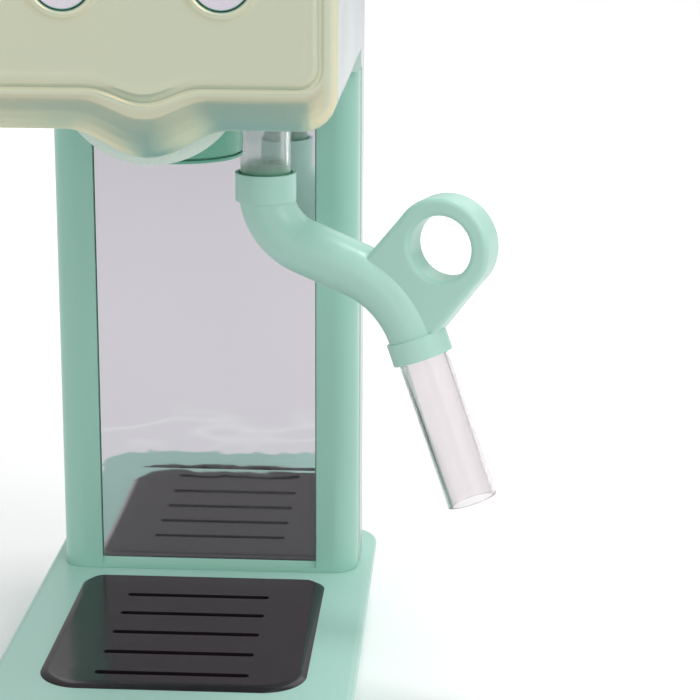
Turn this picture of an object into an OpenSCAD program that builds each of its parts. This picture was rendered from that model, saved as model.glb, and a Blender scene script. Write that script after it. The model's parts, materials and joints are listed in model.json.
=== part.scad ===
/* [Base] */
// Width of the base
base_w = 108.4; // [106:0.2:112]
// Depth of the base, front to back
base_d = 167; // [164:1:176]
// Height of the base's top face above its underside
base_h = 22; // [20:1:28]
// Corner radius of the base at the front
base_front_r = 16; // [12:1:18]
// Corner radius of the base at the back
base_rear_r = 12; // [10:1:16]
// Rounding along the base's top edge
base_edge_r = 2; // [1:0.5:3]
// How far the base's sides lean in towards the underside
base_lean = 2.6; // [0:0.1:3]
// Thickness of the bottom cover
plate_t = 2.4; // [2:0.2:3]
// Radius of each rubber foot pad
foot_r = 6; // [5:0.5:7]
// Depth of the pocket that holds a foot
foot_pocket = 1; // [0.6:0.1:1.2]

/* [Drip tray] */
// Width of the drip tray
tray_w = 79.2; // [76:0.2:82]
// Depth of the drip tray, front to back
tray_d = 92; // [90:0.5:94]
// Distance from the mirror's face to the tray's back edge
tray_setback = 9.5; // [8:0.5:11]
// Corner radius of the tray at the front
tray_front_r = 13; // [9:1:15]
// Corner radius of the tray at the back
tray_rear_r = 7; // [5:1:9]
// Height of the tray's top above the base
tray_rise = 1.5; // [1:0.1:2]
// Width of the bevel round the tray
tray_bevel = 2.6; // [1.5:0.1:3]
// Width of the tray's lip that rests on the base
tray_lip = 1; // [0.8:0.1:1.4]
// Thickness of the tray's top
tray_top_t = 3; // [2.4:0.1:3.4]
// Depth of the well that the tray sits in
well_depth = 5; // [4.5:0.1:5.5]
// Length of each slot
slot_len = 45.6; // [38:0.2:48]
// Width of each slot
slot_w = 2.6; // [2:0.1:3.2]
// Distance from one slot to the next
slot_pitch = 15.8; // [14:0.1:16.5]
// Number of slots
slot_count = 5; // [3:1:5]
// Distance from the tray's back edge to the first slot
slot_start = 19.9; // [16:0.1:21]

/* [Column and mirror] */
// Width of the mint front of the column
column_w = 98.4; // [94:0.2:99]
// Radius of the column's front corners
column_r = 8; // [6:1:10]
// Distance from the mirror's face to the back of the base
mirror_setback = 46.5; // [45:0.5:49]
// How far the mirror's face lies behind the column's front
mirror_recess = 1.5; // [1.2:0.1:3]
// How far the column runs on behind the mirror's face
column_back = 11.5; // [10:0.5:13]
// Width of the mirror opening
mirror_w = 71.6; // [66:0.2:74]
// Thickness of the mirror panel
mirror_t = 1.2; // [1:0.1:2]
// Height of the mirror's lower edge above the base
sill_h = 3.5; // [2.6:0.1:5]
// How far the sill slopes down from the mirror to the front
sill_slope = 2; // [1:0.1:2.2]
// Thickness of the wall behind the mirror
mirror_back_t = 2.2; // [1.6:0.1:3]
// Wall thickness of the column's sides
column_wall = 4; // [3.5:0.1:5]

/* [Head] */
// Width of the head
head_w = 100; // [98:1:102]
// Height of the head's flat underside above the base
head_clear = 166.8; // [164:0.2:172]
// Height of the head, without the boss under it
head_h = 69.2; // [66:0.2:76]
// Reach of the head in front of the mirror's face
head_reach = 125.5; // [123:0.5:129]
// Radius of the head's lower corners
head_low_r = 9; // [8:0.5:9.5]
// Radius of the head's upper corners
head_top_r = 12; // [9:1:14]
// Wall thickness of the shells
wall = 2.2; // [1.8:0.1:2.6]
// Thickness of the head's top
top_t = 3.8; // [3.6:0.1:5]
// Radius of the boss that hangs under the head
boss_r = 26; // [25:0.5:27]
// How far the boss hangs below the head's flat underside
boss_drop = 10.4; // [10:0.1:10.8]
// Gap between two shells that meet
shell_gap = 0.3; // [0.2:0.05:0.4]
// How far the back shell's sides lie inside the head's
back_inset = 0.4; // [0:0.1:0.5]
// Radius of the back shell's upright corners
back_r = 20; // [14:1:20]
// Radius of the back shell's top edge
back_top_r = 10; // [6:1:11]
// Inset of the cup mat from the head's sides
mat_inset = 10; // [8:1:14]
// Depth of the cup mat's recess
mat_t = 1.5; // [1.2:0.1:1.6]

/* [Front shell] */
// Depth of the front shell
front_d = 12; // [9:0.5:14]
// Straight part of the front shell's side
front_straight = 5; // [2:0.5:5.5]
// Bevel at the sides
bevel_side = 3.1; // [2.5:0.1:3.6]
// Bevel at the bottom
bevel_low = 11; // [9:0.2:11.4]
// Bevel at the top
bevel_top = 5; // [4:0.5:6]
// Depth of the wave in the lower edge
wave_depth = 7.6; // [6:0.1:8.2]
// Half width of the wave in the lower edge
wave_half = 22; // [20:0.5:23]
// Depth of the wave in the groove round the field
groove_wave_depth = 3.9; // [3:0.1:5]
// Half width of the wave in the groove round the field
groove_wave_half = 15; // [13:0.5:17]
// Depth of the groove round the field
groove_depth = 0.8; // [0.5:0.1:1]
// Width of the groove round the field
groove_w = 1.1; // [0.6:0.1:1.3]

/* [Buttons] */
// Distance of each button from the middle
button_x = 20.6; // [18:0.2:24]
// Height of the buttons above the head's underside
button_z = 39.7; // [35:0.1:42]
// Radius of a button
button_r = 7.7; // [7:0.1:8.5]
// Travel of a button
button_travel = 2.5; // [1.5:0.1:2.6]
// Width of the raised ring round a button
bezel_w = 2.2; // [1.4:0.1:2.4]
// Height of the raised ring round a button
bezel_rise = 1.1; // [0.8:0.1:1.4]

/* [Group] */
// Distance from the mirror's face to the group's axis
group_out = 52.5; // [50.5:0.5:54]
// Outer radius of the group
group_r = 18; // [17.6:0.2:18.8]
// Height of the group's lower rim above the base
group_clear = 149.1; // [147:0.1:150]
// Inner radius of the portafilter socket
socket_r = 14.5; // [13:0.1:15]
// Depth of the portafilter socket
socket_depth = 6.2; // [5:0.2:8]

/* [Steam wand] */
// Distance of the wand's axis from the middle
wand_x = 22.8; // [22.4:0.1:24]
// Distance from the mirror's face to the wand's axis
wand_out = 32.5; // [31.5:0.5:33.5]
// Angle at rest, from straight out to the side towards the front
wand_turn = 20; // [10:1:30]
// Outer radius of the clear tubes
tube_r = 7.7; // [7:0.1:7.8]
// Wall thickness of the clear tubes
tube_wall = 1.3; // [1:0.1:1.6]
// Radius of the elbow pipe
pipe_r = 8.4; // [8.2:0.1:8.8]
// Radius of the collars
collar_r = 9.3; // [9:0.1:9.8]
// Height of the upper collar's rim above the base
collar_clear = 140.5; // [136:0.5:143]
// Length of the upper collar
collar_len = 8.5; // [7:0.5:10]
// Length of the lower collar
low_collar_len = 6.6; // [6:0.1:9]
// Bend radius of the elbow's first bend
bend_a_r = 18; // [16:0.5:20]
// How far up inside the upper collar the first bend starts
bend_rise = 3.7; // [2.5:0.1:4.5]
// Turn of the first bend
bend_a_turn = 72; // [68:1:76]
// Length between the two bends
bend_gap = 18.5; // [15:0.5:20]
// Bend radius of the elbow's second bend
bend_b_r = 31.5; // [29:1:35]
// Turn of the second bend
bend_b_turn = 51; // [47:1:57]
// Length of the lower tube outside its collar
low_tube_len = 46.2; // [36:0.2:50]
// Outer radius of the finger ring
ring_r = 15.2; // [14:0.2:16.4]
// Radius of the finger hole
hole_r = 9.6; // [9:0.1:10.6]
// Thickness of the finger ring
ring_t = 11; // [9:0.5:12]
// Rounding along the finger ring's edges
ring_edge = 1.8; // [1:0.1:2]
// Distance from the pipe's centre line to the ring's centre
ring_len = 24; // [22:0.1:26]
// Direction of the ring from the pipe, above the horizontal
ring_angle = 50; // [44:1:56]

/* [Battery bay] */
// Width of the battery bay
bay_w = 46; // [45.6:0.2:50]
// Height of the battery bay
bay_h = 56; // [54:1:60]
// Depth of the battery bay
bay_d = 16.5; // [15.5:0.1:18]
// Height of the bay's floor above the base
bay_z = 42; // [30:1:60]
// Length of the screw lands above and below the bay
land_h = 8; // [7:0.5:10]

/* [Hidden] */
$fn = 72;
eps = 0.05;

// places along the depth
mirror_y = base_d / 2 - mirror_setback;
column_front_y = mirror_y - mirror_recess;
joint_y = mirror_y + column_back;
back_rear_y = base_d / 2 - 2;
back_w = head_w - 2 * back_inset;
head_front_y = mirror_y - head_reach;
shell_front_y = head_front_y + front_d;
group_y = mirror_y - group_out;
wand_y = mirror_y - wand_out;
tray_y = mirror_y - tray_setback - tray_d / 2;

// heights
head_low = base_h + head_clear;
head_top = head_low + head_h;
frame_t = 2;
frame_z = head_low + wall;
frame_top = frame_z + frame_t;
group_low = base_h + group_clear;

// screws
screw_r = 1.3;
screw_head_r = 2.8;
screw_head_t = 1.2;
screw_fit = 0.06;
boss_out_r = 4;
base_boss_in = 12.5;
base_boss_x = base_w / 2 - base_boss_in;
base_boss_y = base_d / 2 - base_boss_in;
screw_len = 9;
screw_sunk = 0.2;

module outline(w, d, front_r, rear_r) {
    translate([-w / 2, -d / 2 + front_r]) square([w, d - front_r - rear_r]);
    translate([-w / 2 + front_r, -d / 2]) square([w - 2 * front_r, d / 2]);
    translate([-w / 2 + rear_r, 0]) square([w - 2 * rear_r, d / 2]);
    for (s = [-1, 1]) {
        translate([s * (w / 2 - front_r), -d / 2 + front_r]) circle(front_r);
        translate([s * (w / 2 - rear_r), d / 2 - rear_r]) circle(rear_r);
    }
}

// a rounded block with slightly leaning sides, and its top edge rounded by edge_r
module soft_block(w, d, h, front_r, rear_r, edge_r, lean) {
    steps = 4;
    hull() {
        linear_extrude(eps)
            outline(w - 2 * lean, d - 2 * lean, front_r - lean, rear_r - lean, $fn = 64);
        for (i = [0 : steps]) let (a = 90 * i / steps, in = edge_r * (1 - cos(a)))
            translate([0, 0, h - edge_r * (1 - sin(a)) - eps]) linear_extrude(eps)
                outline(w - 2 * in, d - 2 * in, front_r - in, rear_r - in, $fn = 64);
    }
}

// ---------------------------------------------------------------- base

module tray_place() {
    translate([0, tray_y, 0]) children();
}

module tray_body(gap) {
    inset = tray_lip - gap;
    outline(tray_w - 2 * inset, tray_d - 2 * inset, tray_front_r - inset, tray_rear_r - inset);
}

module base_corners() {
    for (x = [-1, 1], y = [-1, 1]) translate([x * base_boss_x, y * base_boss_y, 0]) children();
}

base_wall = wall + base_lean;

module base_shell() {
    well_z = base_h - well_depth;
    color([0.63, 0.82, 0.76]) difference() {
        union() {
            difference() {
                soft_block(base_w, base_d, base_h, base_front_r, base_rear_r, base_edge_r,
                    base_lean);
                translate([0, 0, -eps]) linear_extrude(base_h - wall + eps)
                    outline(base_w - 2 * base_wall, base_d - 2 * base_wall,
                        base_front_r - base_wall, base_rear_r - base_wall);
            }
            // walls and floor of the well
            tray_place() translate([0, 0, well_z - wall]) linear_extrude(well_depth + wall / 2)
                tray_body(shell_gap + wall);
            base_corners() translate([0, 0, plate_t]) cylinder(r = boss_out_r, h = base_h - wall - plate_t);
        }
        tray_place() translate([0, 0, well_z]) linear_extrude(well_depth + 1) tray_body(shell_gap);
        base_corners() translate([0, 0, -eps])
            cylinder(r = screw_r + screw_fit, h = screw_len + 2);
    }
}

plate_inset = base_wall + shell_gap;
speaker_r = 14;
speaker_t = 6;
speaker_in = 28;
speaker_y = base_d / 2 - speaker_in;
grille_r = 1.2;

module base_plate() {
    color([0.55, 0.74, 0.69]) difference() {
        linear_extrude(plate_t)
            outline(base_w - 2 * plate_inset, base_d - 2 * plate_inset,
                base_front_r - plate_inset, base_rear_r - plate_inset);
        base_corners() sunk_hole();
        foot_places() translate([0, 0, -eps]) cylinder(r = foot_r + 0.1, h = foot_pocket + eps);
        translate([0, speaker_y, -eps]) for (ring = [0 : 2], k = [0 : max(0, 6 * ring - 1)])
            rotate([0, 0, 60 * k / max(1, ring)]) translate([4 * ring, 0, 0])
                cylinder(r = grille_r, h = plate_t + 2 * eps, $fn = 24);
    }
}

foot_in_x = 26;
foot_in_y = 14;

module foot_places() {
    for (x = [-1, 1], y = [-1, 1])
        translate([x * (base_w / 2 - foot_in_x), y * (base_d / 2 - foot_in_y), 0]) children();
}

module rubber_feet() {
    color([0.85, 0.86, 0.86]) foot_places() cylinder(r = foot_r, h = foot_pocket);
}

// hole for a screw whose head sits just below the surface, going up from z = 0
module sunk_hole() {
    translate([0, 0, -1]) cylinder(r = screw_head_r + 0.3, h = 1 + screw_head_t + screw_sunk);
    cylinder(r = screw_r + 0.2, h = plate_t + wall);
}

module screw(length) {
    difference() {
        union() {
            cylinder(r = screw_head_r, h = screw_head_t);
            translate([0, 0, screw_head_t]) cylinder(r = screw_r, h = length);
        }
        for (a = [0, 90]) rotate([0, 0, a])
            translate([-1.5, -0.3, -eps]) cube([3, 0.6, 0.6 + eps]);
    }
}

module base_screws() {
    color([0.7, 0.7, 0.72]) base_corners() translate([0, 0, screw_sunk]) screw(screw_len);
}

module speaker() {
    color([0.2, 0.2, 0.22]) translate([0, speaker_y, plate_t]) rotate_extrude()
        polygon([[0, 0.8], [speaker_r - 3, 0.8], [speaker_r - 1.5, 0], [speaker_r, 0], [speaker_r, 1.5],
            [speaker_r - 4, 3.2], [speaker_r - 6, 3.2], [speaker_r - 6, speaker_t], [0, speaker_t]]);
}

// ---------------------------------------------------------------- drip tray

module drip_tray() {
    top_z = base_h + tray_rise;
    slot_y0 = tray_d / 2 - slot_start;
    color([0.16, 0.13, 0.16]) tray_place() difference() {
        union() {
            translate([0, 0, base_h - well_depth]) linear_extrude(well_depth + eps) tray_body(0);
            hull() {
                translate([0, 0, base_h]) linear_extrude(eps)
                    outline(tray_w, tray_d, tray_front_r, tray_rear_r);
                translate([0, 0, top_z - eps]) linear_extrude(eps)
                    outline(tray_w - 2 * tray_bevel, tray_d - 2 * tray_bevel,
                        tray_front_r - tray_bevel, tray_rear_r - tray_bevel);
            }
        }
        inset = tray_lip + wall;
        translate([0, 0, base_h - well_depth - eps])
            linear_extrude(well_depth + tray_rise - tray_top_t + eps)
                outline(tray_w - 2 * inset, tray_d - 2 * inset, tray_front_r - inset,
                    tray_rear_r - inset);
        for (i = [0 : slot_count - 1]) translate([0, slot_y0 - i * slot_pitch, 0]) {
            translate([-slot_len / 2 + slot_w / 2, -slot_w / 2, 0])
                cube([slot_len - slot_w, slot_w, top_z + 1]);
            for (s = [-1, 1]) translate([s * (slot_len - slot_w) / 2, 0, 0])
                cylinder(r = slot_w / 2, h = top_z + 1, $fn = 24);
        }
    }
}

// ---------------------------------------------------------------- column

column_z = base_h;
column_h = head_low - base_h;
tongue = 3;

module column_outline() {
    d = joint_y - column_front_y;
    translate([-column_w / 2, column_front_y + column_r]) square([column_w, d - column_r]);
    translate([-column_w / 2 + column_r, column_front_y]) square([column_w - 2 * column_r, d]);
    intersection() {
        for (s = [-1, 1]) translate([s * (column_w / 2 - column_r), column_front_y + column_r])
            circle(column_r);
        translate([-column_w / 2, column_front_y]) square([column_w, d]);
    }
}

// the mirror's pocket seen from the side, open to the front and the top, with
// a fine groove at the foot of the sloped sill
module mirror_pocket() {
    sill_z = column_z + sill_h;
    foot_z = sill_z - sill_slope;
    back_y = mirror_y + mirror_t;
    ledge = 0.35;
    groove = 0.45;
    polygon([[column_front_y - 1, foot_z], [column_front_y + ledge, foot_z],
        [column_front_y + ledge, foot_z - groove],
        [column_front_y + ledge + groove, foot_z - groove],
        [column_front_y + ledge + groove, foot_z], [mirror_y, sill_z], [back_y, sill_z],
        [back_y, column_z + column_h + 1], [column_front_y - 1, column_z + column_h + 1]]);
}

module column() {
    inner_w = column_w - 2 * column_wall;
    cavity_y = mirror_y + mirror_t + mirror_back_t;
    tongue_out = back_w / 2 - wall - shell_gap;
    color([0.6, 0.79, 0.73]) difference() {
        union() {
            translate([0, 0, column_z]) linear_extrude(column_h) column_outline();
            for (s = [-1, 1])
                translate([s > 0 ? column_w / 2 - column_wall : -tongue_out, joint_y - 1,
                    column_z + wall + shell_gap])
                cube([tongue_out - column_w / 2 + column_wall, tongue + 1,
                    column_h - 2 * (wall + shell_gap)]);
        }
        translate([-mirror_w / 2, 0, 0]) rotate([90, 0, 90]) linear_extrude(mirror_w)
            mirror_pocket();
        translate([-inner_w / 2, cavity_y, column_z + wall])
            cube([inner_w, joint_y - cavity_y + tongue + 1, column_h - 2 * wall]);
    }
    // posts that take the back shell's screws
    color([0.6, 0.79, 0.73]) post_places() translate([0, back_wall_y - 0.1, 0]) rotate([90, 0, 0])
        difference() {
            cylinder(r = boss_out_r, h = back_wall_y - cavity_y + 0.4);
            translate([0, 0, -1]) cylinder(r = screw_r + screw_fit, h = screw_len + 3);
        }
}

module mirror_panel() {
    color([0.83, 0.82, 0.85])
        translate([-mirror_w / 2 + shell_gap, mirror_y, column_z + sill_h])
            cube([mirror_w - 2 * shell_gap, mirror_t, column_h - sill_h - shell_gap]);
}

// ---------------------------------------------------------------- head

boss_cz = head_low - boss_drop + boss_r;
hood_d = joint_y - shell_front_y;
head_boss_z = head_top - back_top_r - boss_out_r;
head_boss_len = 22;
seat_r = 2;

// the head seen from the front, moved in by inset
module head_profile(inset) {
    w = head_w - 2 * inset;
    low_r = head_low_r - inset;
    top_r = head_top_r - inset;
    low = head_low + inset;
    h = head_h - 2 * inset;
    translate([-w / 2, low + low_r]) square([w, h - low_r - top_r]);
    translate([-w / 2 + low_r, low]) square([w - 2 * low_r, h / 2]);
    translate([-w / 2 + top_r, low + h / 2]) square([w - 2 * top_r, h / 2]);
    for (s = [-1, 1]) {
        translate([s * (w / 2 - low_r), low + low_r]) circle(low_r);
        translate([s * (w / 2 - top_r), low + h - top_r]) circle(top_r);
    }
}

module seat_profile() {
    h = head_low_r + 2;
    translate([-head_w / 2, head_low + seat_r]) square([head_w, h - seat_r]);
    translate([-head_w / 2 + seat_r, head_low]) square([head_w - 2 * seat_r, h]);
    for (s = [-1, 1]) translate([s * (head_w / 2 - seat_r), head_low + seat_r]) circle(seat_r);
}

// segment of the boss below the flat underside
module boss_segment(r, above) {
    intersection() {
        translate([0, boss_cz]) circle(r, $fn = 120);
        translate([-boss_r, head_low - boss_drop - 1]) square([2 * boss_r, boss_drop + 1 + above]);
    }
}

// the boss: a round bar cut along its length, with a domed end over the group
module boss_solid(r, front_y, above) {
    translate([0, group_y, 0]) {
        rotate([90, 0, 0]) linear_extrude(group_y - front_y) boss_segment(r, above);
        rotate_extrude($fn = 120) intersection() {
            boss_segment(r, above);
            translate([0, head_low - 2 * boss_drop]) square([boss_r, 4 * boss_drop]);
        }
    }
}

module along_depth(from_y, to_y) {
    translate([0, to_y, 0]) rotate([90, 0, 0]) linear_extrude(to_y - from_y) children();
}

mat_w = head_w - 2 * mat_inset;
mat_front_y = shell_front_y + mat_inset;
mat_d = joint_y - mat_inset - mat_front_y;

module mat_outline(gap) {
    translate([0, mat_front_y + mat_d / 2])
        outline(mat_w - 2 * gap, mat_d - 2 * gap, 8 - gap, 8 - gap);
}

module head_shell() {
    color([0.89, 0.9, 0.9]) difference() {
        union() {
            along_depth(shell_front_y, joint_y) head_profile(0);
            // squarer lower corners where the head sits on the column
            along_depth(column_front_y, joint_y) seat_profile();
            boss_solid(boss_r, shell_front_y, wall / 2);
        }
        difference() {
            along_depth(shell_front_y - 1, joint_y + 1) head_profile(wall);
            // the top is thicker, for the mat's recess
            translate([-head_w, shell_front_y - 2, head_top - top_t])
                cube([2 * head_w, hood_d + 4, top_t]);
        }
        boss_solid(boss_r - wall, shell_front_y + wall, wall + 0.5);
        translate([0, 0, head_top - mat_t]) linear_extrude(mat_t + 1) mat_outline(0);
        translate([0, group_y, head_low - boss_drop - 1]) cylinder(r = group_r + shell_gap,
            h = boss_drop + wall + 2);
        translate([wand_x, wand_y, head_low - 1]) cylinder(r = tube_r + 0.5, h = wall + 2);
    }
    // bosses for the back shell's upper screws, each hung from the top by a web
    color([0.89, 0.9, 0.9]) for (s = [-1, 1]) translate([s * back_screw_x, 0, 0])
        difference() {
            union() {
                translate([0, back_wall_y - 0.1, head_boss_z]) rotate([90, 0, 0])
                    cylinder(r = boss_out_r, h = head_boss_len + back_wall_y - joint_y);
                translate([-1, joint_y - head_boss_len, head_boss_z])
                    cube([2, head_boss_len - 1, head_top - top_t + eps - head_boss_z]);
            }
            translate([0, back_wall_y, head_boss_z]) rotate([90, 0, 0])
                cylinder(r = screw_r + screw_fit, h = screw_len + 3);
        }
}

module cup_mat() {
    rib_pitch = 8;
    rib_w = 2;
    rib_h = 0.8;
    rib_inset = 6;
    count = floor((mat_d - 16) / rib_pitch);
    y0 = mat_front_y + mat_d / 2 - (count - 1) * rib_pitch / 2;
    color([0.62, 0.8, 0.75]) {
        translate([0, 0, head_top - mat_t]) linear_extrude(mat_t) mat_outline(shell_gap);
        for (i = [0 : count - 1])
            translate([-mat_w / 2 + rib_inset, y0 + i * rib_pitch - rib_w / 2, head_top - eps])
                cube([mat_w - 2 * rib_inset, rib_w, rib_h + eps]);
    }
}

frame_w = head_w - 2 * head_low_r - 2;
frame_front_y = shell_front_y + 6;
frame_rear_y = joint_y - 2;

module inner_frame() {
    color([0.5, 0.52, 0.54]) difference() {
        union() {
            translate([-frame_w / 2, frame_front_y, frame_z])
                cube([frame_w, frame_rear_y - frame_front_y, frame_t]);
            // ribs that stiffen the plate, and the ring over the group
            for (x = [-frame_w / 2, frame_w / 2 - 2])
                translate([x, frame_front_y, frame_top - eps])
                    cube([2, frame_rear_y - frame_front_y, 4]);
            translate([0, group_y, frame_top - eps]) cylinder(r = group_r - 4, h = 3);
        }
        translate([wand_x, wand_y, frame_z - 1]) cylinder(r = bush_r + 0.1, h = frame_t + 2);
        translate([0, group_y, frame_top + 1]) cylinder(r = group_r - 6, h = 3);
    }
}

// ---------------------------------------------------------------- front shell

wave_steps = 24;
corner_steps = 6;

function wave(x, depth, half) = depth * (1 + cos(180 * x / half)) / 2;

function arc(cx, cz, r, from, to) =
    [for (i = [0 : corner_steps]) let (a = from + (to - from) * i / corner_steps)
        [cx + r * cos(a), cz + r * sin(a)]];

// One ring of the front shell. f runs from 0 at the outer edge to 1 at the
// groove, and more moves the ring further in by that many millimetres.
function front_ring(f, more) =
    let (hw = head_w / 2 - bevel_side * f - more,
        low = head_low + bevel_low * f + more,
        top = head_top - bevel_top * f - more,
        low_r = head_low_r - bevel_side * f - more / 2,
        top_r = head_top_r - bevel_side * f - more / 2,
        depth = wave_depth + (groove_wave_depth - wave_depth) * f,
        half = wave_half + (groove_wave_half - wave_half) * f)
    concat(
        [for (i = [0 : wave_steps]) let (x = half * (2 * i / wave_steps - 1))
            [x, low - wave(x, depth, half)]],
        arc(hw - low_r, low + low_r, low_r, -90, 0),
        arc(hw - top_r, top - top_r, top_r, 0, 90),
        arc(top_r - hw, top - top_r, top_r, 90, 180),
        arc(low_r - hw, low + low_r, low_r, 180, 270));

// closed solid through rings [profile, y], from the back to the front, each end a fan
module loft(rings) {
    n = len(rings[0][0]);
    last = len(rings) - 1;
    mid_z = head_low + head_h / 2;
    points = concat([for (ring = rings, p = ring[0]) [p[0], ring[1], p[1]]],
        [[0, rings[0][1], mid_z], [0, rings[last][1], mid_z]]);
    hub = n * len(rings);
    sides = [for (k = [0 : last - 1], i = [0 : n - 1])
        let (a = k * n + i, b = k * n + (i + 1) % n, c = b + n, d = a + n)
        each [[a, d, c], [a, c, b]]];
    ends = [for (i = [0 : n - 1]) let (j = (i + 1) % n)
        each [[i, j, hub], [last * n + j, last * n + i, hub + 1]]];
    polyhedron(points, concat(sides, ends));
}

front_rear_y = shell_front_y - shell_gap;
bevel_steps = 6;
rim_y = head_front_y + 0.7;
bezel_r = button_r + shell_gap;
bezel_out_r = bezel_r + bezel_w;

straight_y = front_rear_y - front_straight;
cavity_front_y = rim_y + wall;

function bevel_rings(more, front_y) =
    [for (i = [0 : bevel_steps]) let (a = 90 * i / bevel_steps)
        [front_ring(1 - cos(a), more), straight_y - (straight_y - front_y) * sin(a)]];

field_step = 4.2;

module button_places() {
    for (s = [-1, 1]) translate([s * button_x, 0, head_low + button_z]) rotate([90, 0, 0]) children();
}

stud_r = 3;
stud_dz = 12;
board_y = head_front_y + 14.5;
board_t = 1.6;
board_w = 2 * button_x + 26;
board_h = 34;
board_screw_len = 7;

module stud_places() {
    for (dz = [-stud_dz, stud_dz]) translate([0, 0, head_low + button_z + dz]) children();
}

module front_outer() {
    loft(concat(
        [[front_ring(0, 0), front_rear_y]],
        bevel_rings(0, rim_y),
        [[front_ring(1, groove_w * 0.35), rim_y + groove_depth],
            [front_ring(1, groove_w), rim_y + groove_depth],
            [front_ring(1, groove_w * 1.5), head_front_y + 0.4],
            [front_ring(1, groove_w * 2.6), head_front_y],
            [front_ring(1, field_step), head_front_y],
            [front_ring(1, field_step + 0.8), head_front_y + 0.1]]));
}

module front_cavity() {
    loft(concat([[front_ring(0, wall), front_rear_y + 1]], bevel_rings(wall, cavity_front_y)));
}

module front_shell() {
    tongue_x = head_w / 2 - wall - shell_gap;
    tongue_t = 1.6;
    tongue_low = head_low + head_low_r + 6;
    tongue_h = head_h - head_low_r - head_top_r - 12;
    color([0.77, 0.79, 0.7]) difference() {
        union() {
            difference() {
                front_outer();
                front_cavity();
            }
            button_places() rotate_extrude() bezel_profile();
            // bosses for the switch board
            stud_places() translate([0, cavity_front_y - 0.5, 0])
                rotate([-90, 0, 0]) cylinder(r = stud_r, h = board_y - cavity_front_y + 0.5);
            // tongues that locate in the head shell
            for (s = [0, 1]) mirror([s, 0, 0]) {
                translate([tongue_x - tongue_t, front_rear_y - 2, tongue_low])
                    cube([tongue_t, 5, tongue_h]);
                translate([tongue_x - tongue_t, front_rear_y - 2, tongue_low])
                    cube([tongue_t + 1, 2, tongue_h]);
            }
        }
        button_places() translate([0, 0, -cavity_front_y - 1])
            cylinder(r = bezel_r, h = cavity_front_y - head_front_y + 5);
        stud_places() translate([0, cavity_front_y + 1, 0])
            rotate([-90, 0, 0]) cylinder(r = screw_r + screw_fit, h = front_d + 10);
    }
}

module bezel_profile() {
    mid = bezel_r + bezel_w / 2;
    face = -head_front_y;
    translate([bezel_r, face - 1]) square([bezel_w, 1 + bezel_rise - bezel_w / 2]);
    translate([mid, face + bezel_rise - bezel_w / 2]) circle(bezel_w / 2, $fn = 32);
}

// ---------------------------------------------------------------- buttons

flange_t = 1.5;
flange_front_y = cavity_front_y + 0.1;
flange_rear_y = flange_front_y + flange_t;
stem_r = 2.6;
spring_r = 4.4;
spring_wire = 0.4;
switch_h = 1.6;

module button(side) {
    face_y = head_front_y - bezel_rise + 0.5;
    stem_end_y = board_y - switch_h - button_travel - 0.2;
    color([0.86, 0.84, 0.88]) translate([side * button_x, 0, head_low + button_z])
        rotate([-90, 0, 0]) {
            translate([0, 0, face_y]) cylinder(r = button_r, h = flange_front_y - face_y + eps);
            translate([0, 0, flange_front_y]) cylinder(r = button_r + 1.6, h = flange_t);
            translate([0, 0, flange_rear_y - eps])
                cylinder(r = stem_r, h = stem_end_y - flange_rear_y + eps);
        }
}

module left_button() {
    button(-1);
}

module right_button() {
    button(1);
}

// helical wire from z = 0 to z = height
module coil(r, wire, height, turns, per_turn) {
    sides = 6;
    steps = turns * per_turn;
    rise = height - 2 * wire;
    points = [for (i = [0 : steps], j = [0 : sides - 1])
        let (t = 360 * i / per_turn, a = 360 * j / sides, rr = r + wire * cos(a))
        [rr * cos(t), rr * sin(t), wire + rise * i / steps + wire * sin(a)]];
    walls = [for (i = [0 : steps - 1], j = [0 : sides - 1])
        let (k = (j + 1) % sides, a = i * sides + j, b = i * sides + k, c = b + sides, d = a + sides)
        each [[a, b, c], [a, c, d]]];
    polyhedron(points, concat(walls, [[for (j = [sides - 1 : -1 : 0]) j]],
        [[for (j = [0 : sides - 1]) steps * sides + j]]));
}

module button_spring(side) {
    lift = 0.1;
    color([0.75, 0.75, 0.78]) translate([side * button_x, flange_rear_y + lift, head_low + button_z])
        rotate([-90, 0, 0]) coil(spring_r, spring_wire, board_y - flange_rear_y - 2 * lift, 5, 16);
}

module left_button_spring() {
    button_spring(-1);
}

module right_button_spring() {
    button_spring(1);
}

module switch_board() {
    color([0.1, 0.4, 0.25]) {
        difference() {
            translate([-board_w / 2, board_y, head_low + button_z - board_h / 2])
                cube([board_w, board_t, board_h]);
            stud_places() translate([0, board_y - 1, 0])
                rotate([-90, 0, 0]) cylinder(r = screw_r + 0.2, h = board_t + 2);
        }
        for (s = [-1, 1]) translate([s * button_x, board_y, head_low + button_z]) {
            rotate([90, 0, 0]) cylinder(r = 1.6, h = switch_h);
            translate([-2.6, -1, -2.6]) cube([5.2, 1 + eps, 5.2]);
        }
    }
}

module board_screws() {
    color([0.7, 0.7, 0.72]) stud_places() translate([0, board_y + board_t + screw_head_t, 0])
        rotate([90, 0, 0]) screw(board_screw_len);
}

// ---------------------------------------------------------------- group

ring_lip = 0.9;
ring_groove = 0.6;
screen_t = 1.5;
ring_fit = 0.1;

module group_head() {
    low = group_low + ring_lip + ring_groove;
    bore_top = group_low + socket_depth + screen_t + 3;
    color([0.45, 0.68, 0.6]) translate([0, group_y, 0]) difference() {
        translate([0, 0, low]) cylinder(r = group_r, h = frame_z - low, $fn = 96);
        translate([0, 0, low - 1]) cylinder(r = socket_r + 1.5, h = bore_top - low + 1);
    }
}

module group_ring() {
    color([0.5, 0.72, 0.65]) translate([0, group_y, 0]) difference() {
        union() {
            translate([0, 0, group_low]) cylinder(r = group_r, h = ring_lip, $fn = 96);
            translate([0, 0, group_low]) cylinder(r = socket_r + 1.5 - ring_fit, h = socket_depth);
            translate([0, 0, group_low]) cylinder(r = group_r - 1.2, h = ring_lip + ring_groove);
        }
        translate([0, 0, group_low - 1]) cylinder(r = socket_r, h = socket_depth + 2);
    }
}

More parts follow.
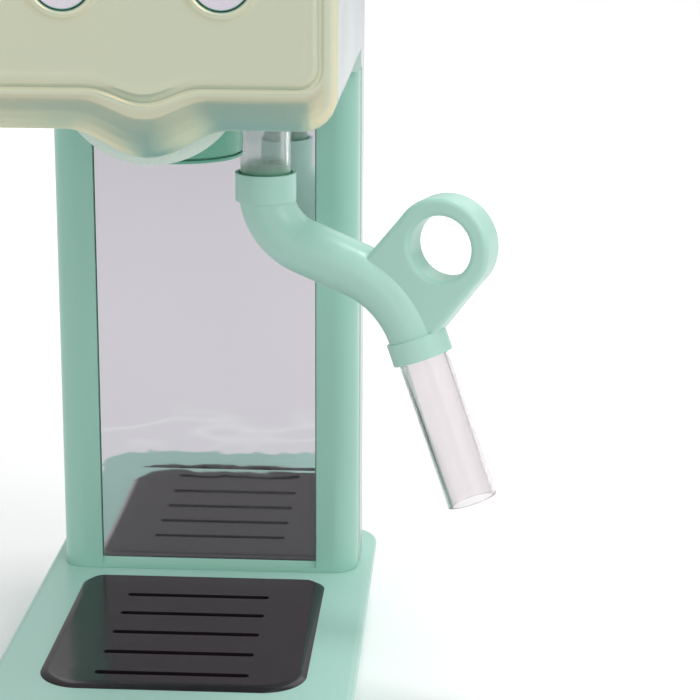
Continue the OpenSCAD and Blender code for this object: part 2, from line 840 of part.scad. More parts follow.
module shower_screen() {
    r = socket_r + 1.5 - ring_fit;
    color([0.7, 0.7, 0.72]) translate([0, group_y, group_low + socket_depth]) difference() {
        cylinder(r = r, h = screen_t);
        for (ring = [0 : 2], k = [0 : max(0, 6 * ring - 1)])
            rotate([0, 0, 60 * k / max(1, ring)]) translate([4.5 * ring, 0, -1])
                cylinder(r = 0.8, h = screen_t + 2, $fn = 24);
    }
}

// ---------------------------------------------------------------- steam wand

bush_r = tube_r + 1.8;
bush_low = frame_z;
bush_flange_t = 1.8;
bush_top = frame_top + bush_flange_t + 2;
retainer_h = 3.6;
swivel_fit = 0.06;
collar_z = base_h + collar_clear;
socket_in = 7;
joint_fit = 0.04;

module at_wand() {
    translate([wand_x, wand_y, 0]) rotate([0, 0, -wand_turn]) children();
}

module wand_bush() {
    color([0.5, 0.72, 0.65]) translate([wand_x, wand_y, 0]) difference() {
        union() {
            translate([0, 0, bush_low]) cylinder(r = bush_r, h = bush_top - bush_low);
            translate([0, 0, frame_top]) cylinder(r = bush_r + 2.5, h = bush_flange_t);
        }
        translate([0, 0, bush_low - 1]) cylinder(r = tube_r + swivel_fit, h = bush_top - bush_low + 2);
    }
}

module wand_upper_tube() {
    low = collar_z - socket_in;
    high = bush_top + 0.2 + retainer_h + 1;
    color([0.9, 0.9, 0.92, 0.4]) translate([wand_x, wand_y, low]) difference() {
        cylinder(r = tube_r, h = high - low);
        translate([0, 0, -1]) cylinder(r = tube_r - tube_wall, h = high - low + 2);
    }
}

module wand_retainer() {
    color([0.5, 0.72, 0.65]) translate([wand_x, wand_y, bush_top + 0.2]) difference() {
        cylinder(r = tube_r + 2.4, h = retainer_h);
        translate([0, 0, -1]) cylinder(r = tube_r + joint_fit, h = retainer_h + 2);
    }
}

// centre line of the elbow in the wand's own plane, as [out, up]
fall_a = 90 - bend_a_turn;
fall_b = fall_a + bend_b_turn;
collar_low_z = collar_z - collar_len;
bend_a_z = collar_low_z + bend_rise;
bend_a_end = [bend_a_r * (1 - cos(bend_a_turn)), bend_a_z - bend_a_r * sin(bend_a_turn)];
bend_b_start = bend_a_end + bend_gap * [cos(fall_a), -sin(fall_a)];
bend_b_centre = bend_b_start - bend_b_r * [sin(fall_a), cos(fall_a)];
bend_b_end = bend_b_centre + bend_b_r * [sin(fall_b), cos(fall_b)];
ring_root_turn = 28.9;
ring_root = bend_b_centre
    + bend_b_r * [sin(fall_a + ring_root_turn), cos(fall_a + ring_root_turn)];
ring_centre = ring_root + ring_len * [cos(ring_angle), sin(ring_angle)];

// the straight pipe runs a little way over the ends of the bends
pipe_step = 0.02;
pipe_over = 0.3;
// the web lies this far inside the ring's own faces
web_step = 0.08;
web_turn = 2.4;

// turns the drawing plane into the wand's upright plane
module upright() {
    rotate([90, 0, 0]) children();
}

module pipe_bend(centre, r, from, turn) {
    upright() translate([centre[0], centre[1], 0]) rotate([0, 0, from])
        rotate_extrude(angle = turn) translate([r, 0]) circle(pipe_r - pipe_step);
}

module at_outlet() {
    translate([bend_b_end[0], 0, bend_b_end[1]]) rotate([0, 90 + fall_b, 0]) children();
}

// rectangle with round corners, about the middle
module pill(w, h, r) {
    square([w - 2 * r, h], center = true);
    square([w, h - 2 * r], center = true);
    for (x = [-1, 1], y = [-1, 1]) translate([x * (w / 2 - r), y * (h / 2 - r)]) circle(r);
}

module ring_web(turn, step) {
    translate([ring_centre[0], 0, ring_centre[1]]) rotate([0, 90 - ring_angle - turn, 0])
        translate([0, 0, -ring_len]) linear_extrude(ring_len)
            pill(2 * (ring_r - step), ring_t - 2 * step, ring_edge);
}

module finger_ring() {
    bar = ring_r - hole_r;
    // the ring itself, with rounded edges
    translate([ring_centre[0], 0, ring_centre[1]]) rotate([90, 0, 0]) rotate_extrude()
        translate([hole_r + bar / 2, 0]) pill(bar, ring_t, ring_edge);
    // the web from the ring down to the pipe, a little wider at its foot
    difference() {
        union() {
            ring_web(0, web_step);
            ring_web(web_turn, 2 * web_step);
        }
        translate([ring_centre[0], 0, ring_centre[1]]) rotate([90, 0, 0])
            cylinder(r = hole_r + bar / 2, h = 2 * ring_t, center = true);
    }
}

module wand_elbow() {
    color([0.63, 0.83, 0.77]) at_wand() difference() {
        union() {
            translate([0, 0, collar_low_z]) cylinder(r = collar_r, h = collar_len);
            pipe_bend([bend_a_r, bend_a_z], bend_a_r, 180, bend_a_turn);
            translate([bend_a_end[0], 0, bend_a_end[1]]) rotate([0, 90 + fall_a, 0])
                translate([0, 0, -pipe_over]) cylinder(r = pipe_r, h = bend_gap + 2 * pipe_over);
            pipe_bend(bend_b_centre, bend_b_r, 90 - fall_b, bend_b_turn);
            at_outlet() translate([0, 0, -0.1]) cylinder(r = collar_r, h = low_collar_len + 0.1);
            finger_ring();
        }
        translate([0, 0, collar_z - socket_in]) cylinder(r = tube_r + joint_fit, h = socket_in + 1);
        translate([0, 0, collar_z - 1.2]) cylinder(r = tube_r + 0.6, h = 3);
        at_outlet() translate([0, 0, low_collar_len - low_socket])
            cylinder(r = tube_r + joint_fit, h = low_socket + 1);
    }
}

low_socket = 5.8;

module wand_lower_tube() {
    color([0.9, 0.9, 0.92, 0.4]) at_wand() at_outlet()
        translate([0, 0, low_collar_len - low_socket]) difference() {
            cylinder(r = tube_r, h = low_socket + low_tube_len);
            translate([0, 0, -1]) cylinder(r = tube_r - tube_wall, h = low_socket + low_tube_len + 2);
        }
}

// ---------------------------------------------------------------- back shell

bay_low = base_h + bay_z;
door_low = bay_low - land_h;
door_h = bay_h + 2 * land_h;
door_w = bay_w + 4;
back_wall_y = back_rear_y - wall;
vent_w = 30;
vent_h = 2;
vent_pitch = 6;
vent_count = 5;

module back_outline(inset) {
    w = back_w - 2 * inset;
    r = back_r - inset;
    front = inset > 0 ? joint_y - 1 : joint_y + shell_gap;
    rear = back_rear_y - inset;
    translate([-w / 2, front]) square([w, rear - r - front]);
    translate([-w / 2 + r, front]) square([w - 2 * r, rear - front]);
    intersection() {
        for (s = [-1, 1]) translate([s * (w / 2 - r), rear - r]) circle(r);
        translate([-w / 2, front]) square([w, rear - front]);
    }
}

// outline from behind: square at the foot, rounded at the top like the head
module back_arch(inset) {
    w = back_w - 2 * inset;
    r = head_top_r - inset;
    h = head_top - base_h - 2 * inset;
    translate([-w / 2, base_h + inset]) {
        square([w, h - r]);
        translate([r, 0]) square([w - 2 * r, h]);
        for (x = [r, w - r]) translate([x, h - r]) circle(r);
    }
}

// outline from the side: the top runs down to the back in a round
module back_side(inset) {
    r = back_top_r - inset;
    front = joint_y - 5;
    depth = back_rear_y - inset - front;
    h = head_top - base_h - 2 * inset;
    translate([front, base_h + inset]) {
        square([depth, h - r]);
        square([depth - r, h]);
        translate([depth - r, h - r]) circle(r);
    }
}

module back_form(inset) {
    intersection() {
        translate([0, 0, base_h]) linear_extrude(head_top) back_outline(inset);
        along_depth(joint_y - 5, back_rear_y + 5) back_arch(inset);
        translate([-head_w, 0, 0]) rotate([90, 0, 90]) linear_extrude(2 * head_w)
            back_side(inset);
    }
}

back_screw_x = 20;
post_zs = [base_h + 14, door_low + door_h + 18];

module post_places() {
    for (x = [-1, 1], z = post_zs) translate([x * back_screw_x, 0, z]) children();
}

module back_screw_places() {
    post_places() children();
    for (x = [-1, 1]) translate([x * back_screw_x, 0, head_boss_z]) children();
}

module back_shell() {
    color([0.89, 0.9, 0.9]) difference() {
        back_form(0);
        back_form(wall);
        translate([-door_w / 2 - shell_gap, back_wall_y - 1, door_low - shell_gap])
            cube([door_w + 2 * shell_gap, wall + 2, door_h + 2 * shell_gap]);
        // sound slots high on the back
        for (i = [0 : vent_count - 1])
            translate([-vent_w / 2, back_wall_y - 1, head_low + 10 + vent_pitch * i])
                cube([vent_w, wall + 2, vent_h]);
        back_screw_places() translate([0, back_rear_y, 0]) rotate([90, 0, 0]) sunk_hole();
    }
}

module back_screws() {
    color([0.7, 0.7, 0.72]) back_screw_places() translate([0, back_rear_y - screw_sunk, 0])
        rotate([90, 0, 0]) screw(screw_len);
}

// ---------------------------------------------------------------- battery bay

holder_wall = 1.6;
rim_w = 3;
cell_pitch = bay_w / 3;
door_screw_len = 8;

module door_screw_places() {
    for (z = [door_low + land_h / 2, door_low + door_h - land_h / 2]) translate([0, 0, z]) children();
}

module battery_holder() {
    w = bay_w + 2 * holder_wall;
    rim = shell_gap + rim_w;
    color([0.3, 0.3, 0.32]) difference() {
        union() {
            translate([-w / 2, back_wall_y - bay_d - holder_wall, bay_low - holder_wall])
                cube([w, bay_d + holder_wall, bay_h + 2 * holder_wall]);
            translate([-door_w / 2 - rim, back_wall_y - holder_wall, door_low - rim])
                cube([door_w + 2 * rim, holder_wall, door_h + 2 * rim]);
            door_screw_places() translate([0, back_wall_y, 0]) rotate([90, 0, 0])
                cylinder(r = land_h / 2 - 0.4, h = door_screw_len + 3);
        }
        translate([-bay_w / 2, back_wall_y - bay_d, bay_low]) cube([bay_w, bay_d + 1, bay_h]);
        door_screw_places() translate([0, back_wall_y + 1, 0]) rotate([90, 0, 0])
            cylinder(r = screw_r + screw_fit, h = door_screw_len + 2);
    }
}

module battery_contacts() {
    plate_w = cell_pitch - 4;
    plate_d = 10;
    mid_y = back_wall_y - bay_d / 2;
    color([0.8, 0.8, 0.78]) for (i = [-1 : 1], end = [0, 1])
        translate([i * cell_pitch, mid_y, end == 0 ? bay_low : bay_low + bay_h])
            mirror([0, 0, end]) {
                translate([-plate_w / 2, -plate_d / 2, 0]) cube([plate_w, plate_d, 0.5]);
                if ((i + 1 + end) % 2 == 0) translate([0, 0, 0.3]) coil(3.4, 0.35, 5, 4, 12);
                else cylinder(r = 2.5, h = 1.2);
            }
}

module battery_door() {
    grip_w = 16;
    grip_h = 1.2;
    grip_depth = 0.6;
    color([0.86, 0.87, 0.87]) difference() {
        translate([-door_w / 2, back_wall_y, door_low]) cube([door_w, wall, door_h]);
        door_screw_places() translate([0, back_rear_y, 0]) rotate([90, 0, 0]) sunk_hole();
        for (i = [0 : 3])
            translate([-grip_w / 2, back_rear_y - grip_depth, door_low + door_h - 16 - 3 * i])
                cube([grip_w, 1, grip_h]);
    }
}

module door_screws() {
    color([0.7, 0.7, 0.72]) door_screw_places() translate([0, back_rear_y - screw_sunk, 0])
        rotate([90, 0, 0]) screw(door_screw_len);
}

// ---------------------------------------------------------------- parts drawn

base_shell();
base_plate();
rubber_feet();
base_screws();
speaker();
drip_tray();
column();
mirror_panel();
head_shell();
front_shell();
cup_mat();
inner_frame();
left_button();
right_button();
left_button_spring();
right_button_spring();
switch_board();
board_screws();
group_head();
group_ring();
shower_screen();
wand_bush();
wand_upper_tube();
wand_retainer();
wand_elbow();
wand_lower_tube();
back_shell();
back_screws();
battery_holder();
battery_contacts();
battery_door();
door_screws();
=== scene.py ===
"""Visual model of the toy coffee maker, over its CAD frame. Metres, Z up, front at -Y."""

import json
import math

import bpy
from mathutils import Matrix, Vector


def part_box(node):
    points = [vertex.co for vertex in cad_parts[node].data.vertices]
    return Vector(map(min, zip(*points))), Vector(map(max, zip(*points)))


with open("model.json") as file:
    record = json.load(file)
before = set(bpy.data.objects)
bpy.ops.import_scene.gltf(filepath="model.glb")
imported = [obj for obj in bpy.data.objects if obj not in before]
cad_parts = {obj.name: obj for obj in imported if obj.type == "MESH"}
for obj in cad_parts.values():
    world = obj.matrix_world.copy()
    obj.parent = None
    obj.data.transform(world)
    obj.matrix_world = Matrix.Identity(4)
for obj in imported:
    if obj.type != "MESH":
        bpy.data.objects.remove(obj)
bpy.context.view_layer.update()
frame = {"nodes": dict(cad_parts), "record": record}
NODES = frame["nodes"]
MM = 0.001
WHITE = (1, 1, 1, 1)
BLACK = (0, 0, 0, 1)
# most of a noise's values lie between these two
NOISE_LOW, NOISE_HIGH = 0.3, 0.7


# ---------------------------------------------------------------- colours and shader nodes

def rgb(red, green, blue):
    """An sRGB colour, 0 to 255, as the linear colour that shaders take."""
    def linear(v):
        v /= 255
        return v / 12.92 if v <= 0.04045 else ((v + 0.055) / 1.055) ** 2.4
    return (linear(red), linear(green), linear(blue), 1.0)


def grey(level):
    """The same for a neutral grey, 0 to 255."""
    return rgb(level, level, level)


def feed(links, value, socket):
    """Links value to the socket if it is another node's output, and else sets it there."""
    if isinstance(value, bpy.types.NodeSocket):
        links.new(value, socket)
    else:
        socket.default_value = value


def map_range(tree, value, low, high, to_low, to_high):
    """Stretches low to high over to_low to to_high, and holds the value at those two ends."""
    n = tree.nodes.new("ShaderNodeMapRange")
    names = ("Value", "From Min", "From Max", "To Min", "To Max")
    for name, v in zip(names, (value, low, high, to_low, to_high)):
        feed(tree.links, v, n.inputs[name])
    return n.outputs["Result"]


class Look:
    """A material on one Principled shader, with short calls for its procedural parts."""

    def __init__(self, name, **constants):
        """Each constant is a socket of the shader, with _ for a space."""
        self.name = name
        self.material = bpy.data.materials.new(name)
        self.material.use_nodes = True
        self.tree = self.material.node_tree
        self.shader = self.tree.nodes["Principled BSDF"]
        self.where = self.tree.nodes.new("ShaderNodeTexCoord").outputs["Object"]
        self.normal = None
        for socket, value in constants.items():
            self.shader.inputs[socket.replace("_", " ")].default_value = value

    def node(self, kind, **settings):
        """A new node; a setting is the node's own, or else an input, with _ for a space."""
        n = self.tree.nodes.new(kind)
        for key, value in settings.items():
            if hasattr(n, key):
                setattr(n, key, value)
            else:
                n.inputs[key.replace("_", " ")].default_value = value
        return n

    def link(self, output, socket):
        self.tree.links.new(output, socket)

    def surface_normal(self):
        return self.node("ShaderNodeNewGeometry").outputs["Normal"]

    def noise(self, scale, detail=1, stretch=(1, 1, 1)):
        """Noise of about scale spots to a metre, with detail finer layers in it. A stretch under
        1 draws the spots out along that axis."""
        place = self.node("ShaderNodeMapping")
        place.inputs["Scale"].default_value = stretch
        self.link(self.where, place.inputs["Vector"])
        n = self.node("ShaderNodeTexNoise", Scale=scale, Detail=detail)
        self.link(place.outputs["Vector"], n.inputs["Vector"])
        return n.outputs["Fac"]

    def ramp(self, value, *stops):
        """Colours or greys along value; each stop is (position, colour)."""
        n = self.node("ShaderNodeValToRGB")
        marks = n.color_ramp.elements
        while len(marks) < len(stops):
            marks.new(0.5)
        for mark, (at, colour) in zip(marks, stops):
            mark.position = at
            mark.color = colour if isinstance(colour, tuple) else (colour, colour, colour, 1)
        self.link(value, n.inputs["Fac"])
        return n.outputs["Color"]

    def drift(self, noise, dark, light):
        """Two colours or greys that follow a noise."""
        return self.ramp(noise, (NOISE_LOW, dark), (NOISE_HIGH, light))

    def span(self, value, low, high, to_low, to_high):
        return map_range(self.tree, value, low, high, to_low, to_high)

    def component(self, vector, name, low, high):
        """0 to 1 as one component of a vector goes from low to high."""
        split = self.node("ShaderNodeSeparateXYZ")
        self.link(vector, split.inputs["Vector"])
        return self.span(split.outputs[name], low, high, 0, 1)

    def axis(self, name, low, high):
        """0 to 1 along one axis of the object, between two places in metres."""
        return self.component(self.where, name, low, high)

    def band(self, name, start, full, waning, end):
        """0 to 1 from start to full along an axis, and back to 0 from waning to end."""
        return self.times(self.axis(name, start, full), self.axis(name, end, waning))

    def facing(self, name, low, high):
        """0 to 1 by how far the surface's own normal points along an axis."""
        return self.component(self.surface_normal(), name, low, high)

    def times(self, a, b):
        n = self.node("ShaderNodeMath", operation="MULTIPLY")
        self.link(a, n.inputs[0])
        self.link(b, n.inputs[1])
        return n.outputs["Value"]

    def mix(self, share, a, b, blend="MIX"):
        """Colour a, and colour b over it by share; each is an output or a constant."""
        n = self.node("ShaderNodeMix", data_type="RGBA", blend_type=blend)
        for name, kind, value in (("Factor", "VALUE", share), ("A", "RGBA", a), ("B", "RGBA", b)):
            socket = next(s for s in n.inputs if s.name == name and s.type == kind)
            feed(self.tree.links, value, socket)
        return next(s for s in n.outputs if s.type == "RGBA")

    def colour(self, value):
        self.link(value, self.shader.inputs["Base Color"])

    def roughness(self, noise, low, high):
        """Roughness from low to high, following a noise."""
        value = self.span(noise, NOISE_LOW, NOISE_HIGH, low, high)
        self.link(value, self.shader.inputs["Roughness"])

    def droop(self, share, *stops):
        """Leans the shading normal down: share times the stops, which run from a surface that
        faces sideways or up, 0, to one that faces down, 1. The bumps that follow build on it."""
        amount = self.times(share, self.ramp(self.facing("Z", 0, -1), *stops))
        lean = self.node("ShaderNodeCombineXYZ")
        self.link(self.span(amount, 0, 1, 0, -1), lean.inputs["Z"])
        total = self.node("ShaderNodeVectorMath", operation="ADD")
        self.link(self.surface_normal(), total.inputs[0])
        self.link(lean.outputs["Vector"], total.inputs[1])
        unit = self.node("ShaderNodeVectorMath", operation="NORMALIZE")
        self.link(total.outputs["Vector"], unit.inputs[0])
        self.normal = unit.outputs["Vector"]

    def bump(self, value, depth, strength=1.0):
        """Adds relief of that depth in mm; several calls stack."""
        n = self.node("ShaderNodeBump", Strength=strength, Distance=depth * MM)
        self.link(value, n.inputs["Height"])
        if self.normal is not None:
            self.link(self.normal, n.inputs["Normal"])
        self.normal = n.outputs["Normal"]
        self.link(self.normal, self.shader.inputs["Normal"])


# ---------------------------------------------------------------- materials

def mint(name, dark, light):
    """Glossy moulded plastic with faint flow marks."""
    look = Look(name, Coat_Weight=0.1, Coat_Roughness=0.08, IOR=1.45)
    look.colour(look.ramp(look.noise(7, stretch=(1, 1, 0.3)), (0.1, dark), (0.9, light)))
    look.roughness(look.noise(12), 0.3, 0.34)
    look.bump(look.noise(30), depth=0.04, strength=0.1)
    return look


def pearl(name, dark, light, film, metal, rough=(0.28, 0.4)):
    """Pearlescent plastic: a fine flake over two drifting tones, with painted shade that turns
    faces pointing down a darker teal. Film is its thin film's thickness in nanometres."""
    look = Look(name, Coat_Weight=0.45, Coat_Roughness=0.1, Metallic=metal, IOR=1.5,
                Thin_Film_Thickness=film, Thin_Film_IOR=1.36)
    body = look.ramp(look.noise(14, detail=3, stretch=(1, 1, 0.6)), (0.34, dark), (0.66, light))
    # painted shade: faces that point down turn a darker teal, standing in for dark reflections from
    # below
    body = look.mix(look.facing("Z", 0.0, -0.6), body, rgb(140, 196, 184))
    flake = look.drift(look.noise(1800), 0.9, 1.0)
    look.colour(look.mix(0.6, body, flake, blend="MULTIPLY"))
    look.roughness(look.noise(20), *rough)
    look.bump(look.noise(30), depth=0.04, strength=0.1)
    return look


def flash_pearl(name, dark, light, flash, ior):
    """Two-tone pearl: a body colour under flakes that shine in another colour, the flash. On the
    low front bevel the shading droops, so that it shows the dark tray."""
    look = Look(name, IOR=ior, Specular_Tint=flash)
    bevel_top, below_it = 0.203, 0.2005
    side, front = 0.5, 0.02
    low_front = look.times(look.axis("Z", bevel_top, below_it), look.facing("X", side, front))
    look.droop(low_front, (0.03, 0.0), (0.08, 0.8), (0.22, 0.8), (0.4, 0.6), (0.75, 0.15))
    look.colour(look.drift(look.noise(14, detail=2, stretch=(1, 1, 0.6)), dark, light))
    look.roughness(look.noise(1500), 0.29, 0.33)
    look.bump(look.noise(1500), depth=0.01, strength=0.25)
    look.bump(look.noise(25), depth=0.1, strength=0.1)
    return look


def clear_plastic(name):
    """Clear tube, a little warmer below the wand's upper collar. The foot that stands in that
    collar, and 4 mm above it, lets less light through and has painted colour: the collar's mint,
    which shows through the tube there."""
    look = Look(name, IOR=1.45, Coat_Weight=0.1)
    collar_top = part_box("wand_elbow")[1][2]
    foot_low = collar_top - 15 * MM
    foot_high = collar_top + 4 * MM
    haze = look.noise(60, detail=3, stretch=(1, 1, 0.15))
    warm = look.drift(haze, rgb(250, 245, 247), rgb(253, 250, 251))
    clear = look.mix(look.axis("Z", foot_low, collar_top), warm, rgb(245, 250, 248))
    above = look.axis("Z", collar_top, foot_high)
    below = look.axis("Z", foot_low + 1 * MM, foot_low)
    # painted: the foot takes the collar's mint, which shows through the tube there, as its own
    # colour
    foot = look.mix(above, rgb(112, 186, 150), clear)
    look.colour(look.mix(below, foot, clear))
    share = look.mix(below, look.mix(above, BLACK, WHITE), WHITE)
    look.link(look.span(share, 0, 1, 0.3, 0.9), look.shader.inputs["Transmission Weight"])
    look.roughness(look.noise(300, detail=2, stretch=(1, 1, 0.1)), 0.015, 0.06)
    return look


def mirror_film(name):
    """Reflective film on a card: bright, and not quite flat, with painted highlights as whiter
    wisps in a band above its foot. Heights are in metres.
    """
    look = Look(name, Metallic=0.94)
    film = look.drift(look.noise(9, detail=2), rgb(235, 233, 237), rgb(239, 237, 241))
    # painted highlight: whiter wisps in the film's colour, in a band above its foot, stand in for
    # bright wavy reflections
    streaks = look.noise(55, stretch=(0.45, 1, 1.6))
    painted_glint = look.ramp(streaks, (0.46, 0.0), (0.5, 0.55), (0.54, 0.0))
    glint_band = look.band("Z", 0.062, 0.068, 0.073, 0.079)
    look.colour(look.mix(look.times(painted_glint, glint_band), film, WHITE))
    look.roughness(look.noise(40, detail=3), 0.02, 0.05)
    # the film lies loose near its foot: it leans a little, and ripples at the top of the lean
    foot = look.axis("Z", 0.05, 0.0255)
    look.bump(look.times(foot, foot), depth=0.17)
    look.bump(look.axis("Z", 0.057, 0.064), depth=0.09)
    rippled = look.band("Z", 0.052, 0.058, 0.066, 0.078)
    look.bump(look.times(rippled, look.noise(170, stretch=(0.8, 1, 1))), depth=0.03)
    look.bump(look.noise(16, stretch=(1, 1, 0.5)), depth=0.4, strength=0.06)
    return look


def dark_gloss(name):
    """Dark aubergine plastic with a faint orange peel."""
    look = Look(name, Coat_Weight=0.1, Coat_Roughness=0.04, IOR=1.38)
    look.colour(look.drift(look.noise(30, detail=3), rgb(33, 26, 31), rgb(39, 31, 37)))
    look.roughness(look.noise(60, detail=2), 0.14, 0.22)
    look.bump(look.noise(55, detail=2), depth=0.1, strength=0.08)
    return look


def steel(name):
    """Plated steel with a fine grain."""
    look = Look(name, Metallic=1.0)
    look.colour(look.drift(look.noise(300, detail=3), rgb(176, 177, 180), rgb(204, 205, 208)))
    look.roughness(look.noise(900, detail=3), 0.2, 0.36)
    look.bump(look.noise(1500, detail=2, stretch=(1, 1, 0.2)), depth=0.01, strength=0.5)
    return look


def matte(name, dark, light, grain=700, rough=(0.5, 0.68)):
    """Spark-eroded moulded plastic or rubber."""
    look = Look(name)
    look.colour(look.drift(look.noise(40, detail=3), dark, light))
    look.roughness(look.noise(grain, detail=3), *rough)
    look.bump(look.noise(grain, detail=4), depth=0.06, strength=0.6)
    return look


def board(name):
    """Green solder mask with faint tracks under it."""
    look = Look(name, Coat_Weight=0.4, Coat_Roughness=0.15)
    tracks = look.node("ShaderNodeTexBrick", Scale=260.0, Mortar_Size=0.03)
    look.link(look.where, tracks.inputs["Vector"])
    share = look.ramp(tracks.outputs["Fac"], (0.2, 0.0), (0.6, 1.0))
    look.colour(look.mix(share, rgb(22, 92, 54), rgb(38, 120, 72)))
    look.roughness(look.noise(400, detail=2), 0.35, 0.5)
    look.bump(share, depth=0.03, strength=0.5)
    return look


LOOKS = {look.name: look for look in (
    mint("base_mint", rgb(170, 212, 200), rgb(175, 216, 204)),
    mint("column_mint", rgb(157, 206, 189), rgb(163, 211, 195)),
    # painted shade: the group head is the same mint, painted darker for the shade under the head
    mint("group_mint", rgb(112, 179, 155), rgb(119, 185, 161)),
    mint("wand_mint", rgb(179, 221, 206), rgb(185, 226, 213)),
    pearl("white_pearl", rgb(222, 242, 236), rgb(229, 246, 239), film=420.0, metal=0.08),
    pearl("button_lilac", rgb(228, 224, 234), rgb(236, 231, 238), film=300.0, metal=0.05,
          rough=(0.15, 0.25)),
    flash_pearl("cream_pearl", rgb(170, 240, 240), rgb(178, 243, 239),
                flash=(1.0, 0.62, 0.27, 1), ior=6.7),
    dark_gloss("dark_gloss"),
    mirror_film("mirror_film"),
    clear_plastic("clear_tube"),
    matte("grey_rubber", rgb(178, 180, 180), rgb(194, 196, 196)),
    matte("dark_plastic", rgb(62, 62, 66), rgb(74, 74, 78)),
    matte("frame_plastic", rgb(128, 132, 136), rgb(144, 148, 152)),
    matte("speaker_black", rgb(24, 24, 26), rgb(36, 36, 38), grain=1200, rough=(0.6, 0.8)),
    steel("steel"),
    board("board_green"),
)}


def dress(node, look):
    """Gives a CAD node one material all over."""
    o = NODES[node]
    if not o.material_slots:
        o.data.materials.append(None)
    for s in o.material_slots:
        s.link = "OBJECT"
        s.material = look.material


# ---------------------------------------------------------------- edges

# widths of the rounded edges in mm, and the nodes that have them
SOFT_EDGES = {
    0.1: ("base_screws", "back_screws", "door_screws", "board_screws", "shower_screen",
          "mirror_panel"),
    0.2: ("group_ring", "wand_upper_tube", "wand_bush", "wand_retainer", "battery_holder",
          "inner_frame", "rubber_feet"),
    0.25: ("wand_lower_tube",),
    0.3: ("base_plate", "cup_mat", "group_head", "battery_door"),
    0.35: ("drip_tray", "head_shell", "back_shell", "wand_elbow"),
    0.5: ("column", "left_button", "right_button"),
}
EDGE_SEGMENTS = 2
# the angles in degrees: two faces that meet at more than EDGE_ANGLE get a rounded edge, and
# triangles that lie within FLAT_ANGLE of each other become one face first
EDGE_ANGLE = 32
FLAT_ANGLE = 0.4
# points of the CAD mesh that lie this near to each other, in mm, are one point
SAME_POINT = 0.002
# flat faces that several holes or ribs pierce stay as the triangles they are
HOLED = ("cup_mat", "battery_holder")
# nodes whose softened edges end in slivers, and the weld in mm that takes them away
SLIVERED = {"drip_tray": 0.01, "column": 0.01, "wand_elbow": 0.001}


def soften(node, width):
    """Rounds a CAD node's hard edges by modifiers, and shades its curves smooth."""
    o = NODES[node]
    weld = o.modifiers.new("weld", "WELD")
    weld.merge_threshold = SAME_POINT * MM
    if node not in HOLED:
        flats = o.modifiers.new("flats", "DECIMATE")
        flats.decimate_type = "DISSOLVE"
        flats.angle_limit = math.radians(FLAT_ANGLE)
    round_off = o.modifiers.new("round_off", "BEVEL")
    round_off.width = width * MM
    round_off.segments = EDGE_SEGMENTS
    round_off.limit_method = "ANGLE"
    round_off.angle_limit = math.radians(EDGE_ANGLE)
    round_off.miter_outer = "MITER_ARC"
    if node in SLIVERED:
        slivers = o.modifiers.new("slivers", "WELD")
        slivers.merge_threshold = SLIVERED[node] * MM
    weights = o.modifiers.new("weights", "WEIGHTED_NORMAL")
    weights.keep_sharp = False
    weights.weight = 90


def melt(node, cell, rounds):
    """Softens every edge of a CAD node, as a mould does, by modifiers; cell is in mm."""
    o = NODES[node]
    cells = o.modifiers.new("cells", "REMESH")
    cells.mode = "VOXEL"
    cells.voxel_size = cell * MM
    cells.use_smooth_shade = True
    smooth = o.modifiers.new("smooth", "SMOOTH")
    smooth.factor = 0.5
    smooth.iterations = rounds


# ---------------------------------------------------------------- stage, light and camera

FLOOR_HALF = 8.0
FLOOR_GLOW = 0.3
# where along Y, in metres, the floor starts to change and has changed: far behind the object, where
# its painted glow rises, and in front of it, where painted shade darkens it
FLOOR_FAR = (0.15, 0.8)
FLOOR_NEAR = (-0.085, -0.14)
# directions, and how bright the room is towards each
STUDIO = (
    ((1, 0, 0), 0.1),
    ((0, -1, 0), 1.1),
    ((0, 1, 0), 0.45),
    ((0, 0, 1), 0.36),
    ((1, -1, 1), 0.41),
)
# how fast that brightness falls off round each direction
STUDIO_FALL = 3.0
# the dim part of the room: its middle, the cosines between which it starts, and what is left
DIM_SIDE = (0.1, -0.9, 0.36)
DIM_EDGES = (0.88, 0.96)
DIM = 0.25
# each softbox's name, place, width and height in metres, and power in watts
SOFTBOXES = (
    ("key", (0.8, -0.9, 1.2), (0.9, 0.9), 4.2),
    ("back", (0.2, 1.3, 1.1), (1.4, 0.8), 3.2),
    ("top", (0.25, 0.05, 1.6), (0.3, 0.3), 5.5),
)
SOFTBOX_TARGET = (0, 0, 0.12)
# the photograph's camera, solved from the object's edges: no shift
IMAGE_PX = 700
FOCAL_PX = 2218.9
SENSOR_MM = 36.0
CAMERA_PLACE = (0.08751, -0.65781, 0.28197)
YAW, PITCH, ROLL = (math.radians(degrees) for degrees in (3.36, 14.77, -0.22))


def floor():
    """A white sheet. It glows, as painted light, more far behind the object; in front, where the
    camera's view meets it mostly in the mirror, it has painted shade that makes it a little darker."""
    mesh = bpy.data.meshes.new("floor")
    corners = [(x * FLOOR_HALF, y * FLOOR_HALF, 0) for x, y in ((-1, -1), (1, -1), (1, 1), (-1, 1))]
    mesh.from_pydata(corners, [], [(0, 1, 2, 3)])
    o = bpy.data.objects.new("floor", mesh)
    bpy.context.scene.collection.objects.link(o)
    look = Look("floor_paper", Emission_Strength=FLOOR_GLOW)
    glow = look.mix(look.axis("Y", *FLOOR_FAR), grey(110), grey(255))
    look.link(glow, look.shader.inputs["Emission Color"])
    paper = look.drift(look.noise(6, detail=2), grey(249), grey(252))
    # painted shade: in front of the object the floor is painted darker, for the mirror to reflect
    look.colour(look.mix(look.axis("Y", *FLOOR_NEAR), paper, rgb(212, 211, 214)))
    look.roughness(look.noise(30, detail=2), 0.7, 0.85)
    mesh.materials.append(look.material)


def softbox(name, place, size, power):
    """A flat light that looks at the object."""
    light = bpy.data.lights.new(name, "AREA")
    light.shape = "RECTANGLE"
    light.size, light.size_y = size
    light.energy = power
    o = bpy.data.objects.new(name, light)
    bpy.context.scene.collection.objects.link(o)
    o.location = place
    view = Vector(SOFTBOX_TARGET) - Vector(place)
    o.rotation_euler = view.to_track_quat("-Z", "Y").to_euler()


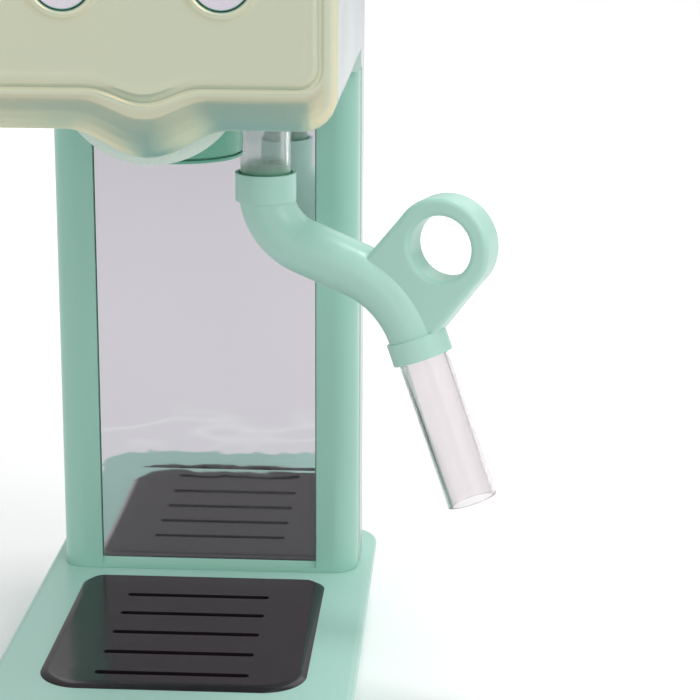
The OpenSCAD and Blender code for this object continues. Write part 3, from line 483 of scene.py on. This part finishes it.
def surroundings():
    """The white studio all round, with a dim part on the camera's side."""
    world = bpy.data.worlds.new("studio")
    bpy.context.scene.world = world
    world.use_nodes = True
    tree = world.node_tree
    background = tree.nodes["Background"]
    outward = tree.nodes.new("ShaderNodeTexCoord").outputs["Generated"]

    def compute(kind, operation, *inputs):
        n = tree.nodes.new(kind)
        n.operation = operation
        for value, socket in zip(inputs, n.inputs):
            feed(tree.links, value, socket)
        return n.outputs["Value"]

    def towards(direction):
        """The cosine between a ray's direction and another one."""
        unit = Vector(direction).normalized()
        return compute("ShaderNodeVectorMath", "DOT_PRODUCT", outward, unit)

    total = 0.0
    for direction, bright in STUDIO:
        half = compute("ShaderNodeMath", "MULTIPLY_ADD", towards(direction), 0.5, 0.5)
        lobe = compute("ShaderNodeMath", "POWER", half, STUDIO_FALL)
        total = compute("ShaderNodeMath", "MULTIPLY_ADD", lobe, bright, total)
    dim = map_range(tree, towards(DIM_SIDE), *DIM_EDGES, 1, DIM)
    total = compute("ShaderNodeMath", "MULTIPLY", total, dim)
    background.inputs["Color"].default_value = WHITE
    tree.links.new(total, background.inputs["Strength"])


def camera():
    """The photograph's camera; its yaw, pitch down and roll turn it from a look along +Y."""
    forward = Vector((-math.sin(YAW) * math.cos(PITCH), math.cos(YAW) * math.cos(PITCH),
                      -math.sin(PITCH)))
    level = Vector((math.cos(YAW), math.sin(YAW), 0))
    down = forward.cross(level)
    right = math.cos(ROLL) * level + math.sin(ROLL) * down
    up = math.sin(ROLL) * level - math.cos(ROLL) * down
    data = bpy.data.cameras.new("camera")
    data.sensor_fit = "HORIZONTAL"
    data.sensor_width = SENSOR_MM
    data.lens = FOCAL_PX * SENSOR_MM / IMAGE_PX
    data.clip_start = 0.01
    o = bpy.data.objects.new("camera", data)
    bpy.context.scene.collection.objects.link(o)
    turn = Matrix((right, up, -forward)).transposed().to_4x4()
    o.matrix_world = Matrix.Translation(CAMERA_PLACE) @ turn
    bpy.context.scene.camera = o


# ---------------------------------------------------------------- the scene

for subpart in frame["record"]["subparts"]:
    dress(subpart["node"], LOOKS[subpart["material_slot"]])
for edge_width, softened in SOFT_EDGES.items():
    for node_name in softened:
        soften(node_name, edge_width)
melt("front_shell", cell=0.4, rounds=6)
floor()
surroundings()
for box in SOFTBOXES:
    softbox(*box)
camera()
bpy.context.scene.view_settings.view_transform = "Standard"
